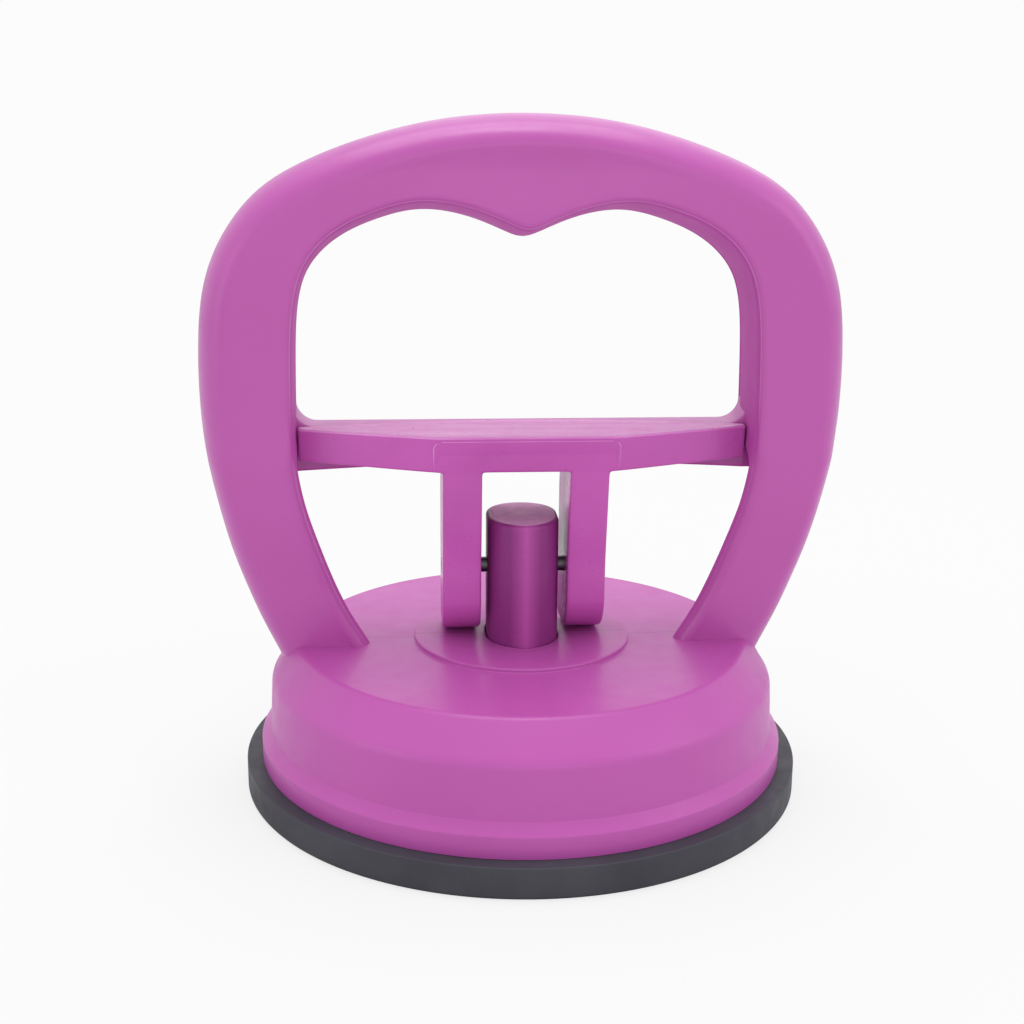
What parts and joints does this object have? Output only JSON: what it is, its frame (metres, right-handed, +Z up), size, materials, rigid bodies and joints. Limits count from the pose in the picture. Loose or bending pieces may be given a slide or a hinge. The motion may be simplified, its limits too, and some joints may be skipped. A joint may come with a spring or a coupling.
{
  "type": "suction lifter",
  "caption": "Palm-sized suction lifter: domed vacuum cup with rubber pad, loop handle, and a folding cam lever that draws the pad's centre up.",
  "frame": {"origin": "centre of the rubber pad's underside, on the surface the lifter stands on", "axes": "+Z up through the plunger, X along the loop handle's width, -Y the side the lever folds down to"},
  "size_m": [0.0618, 0.055, 0.065],
  "materials": {
    "pad_rubber": "matt black rubber, smooth underside",
    "body_plastic": "purple injection moulding, soft gloss",
    "plunger_plastic": "darker purple moulding, satin",
    "pin_steel": "dark steel, drawn wire",
    "lever_plastic": "purple injection moulding, soft gloss, top face worn matt"
  },
  "bodies": {
    "base": {"body": "body_plastic", "suction_pad": "pad_rubber"},
    "plunger": {"plunger": "plunger_plastic", "pivot_pin": "pin_steel"},
    "lever": {"lever": "lever_plastic"}
  },
  "joints": [
    {"name": "plunger_slide", "type": "slide", "parent": "base", "child": "plunger", "axis": [0, 0, -1], "range_m": [0, 0.00364], "deforming": ["suction_pad"]},
    {"name": "lever_hinge", "type": "hinge", "parent": "plunger", "child": "lever", "pos_m": [0, 0, 0.0218], "axis": [1, 0, 0], "range_deg": [0, 80]}
  ],
  "couplings": [
    {"joint": "lever_hinge", "follows": "plunger_slide", "rad_per_m": 383.12}
  ]
}
